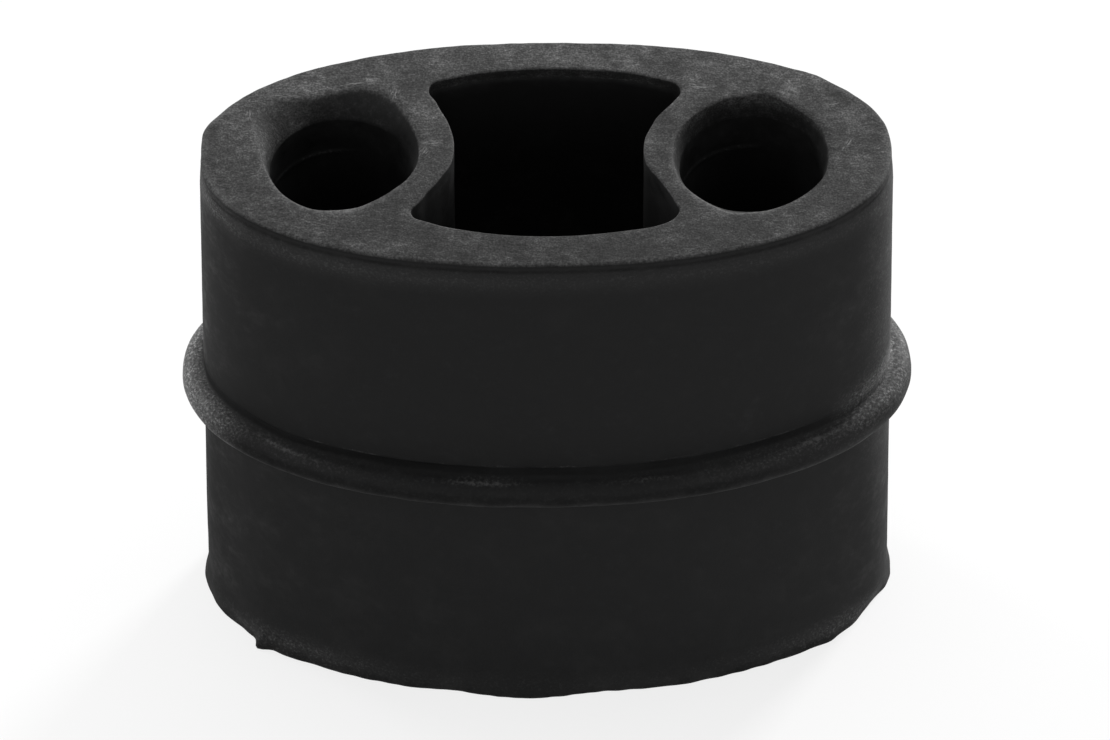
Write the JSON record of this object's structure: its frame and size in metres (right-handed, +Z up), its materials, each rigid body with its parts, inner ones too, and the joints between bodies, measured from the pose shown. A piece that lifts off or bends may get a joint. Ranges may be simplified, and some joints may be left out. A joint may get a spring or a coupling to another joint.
{
  "type": "rubber exhaust hanger",
  "caption": "Oval block of moulded black rubber that hangs a silencer: a round rod bore at each end, an hourglass opening between them and a rounded rib round the outside.",
  "frame": {"origin": "middle of the flat lower face", "axes": "+Z up along the bores, +X along the oval from one bore to the other, +Y across it"},
  "size_m": [0.0592, 0.0286, 0.0515],
  "materials": {
    "black_rubber": "matt moulded rubber, greyer and scuffed on the upper face"
  },
  "bodies": {
    "root": {"rubber_body": "black_rubber"}
  },
  "joints": []
}
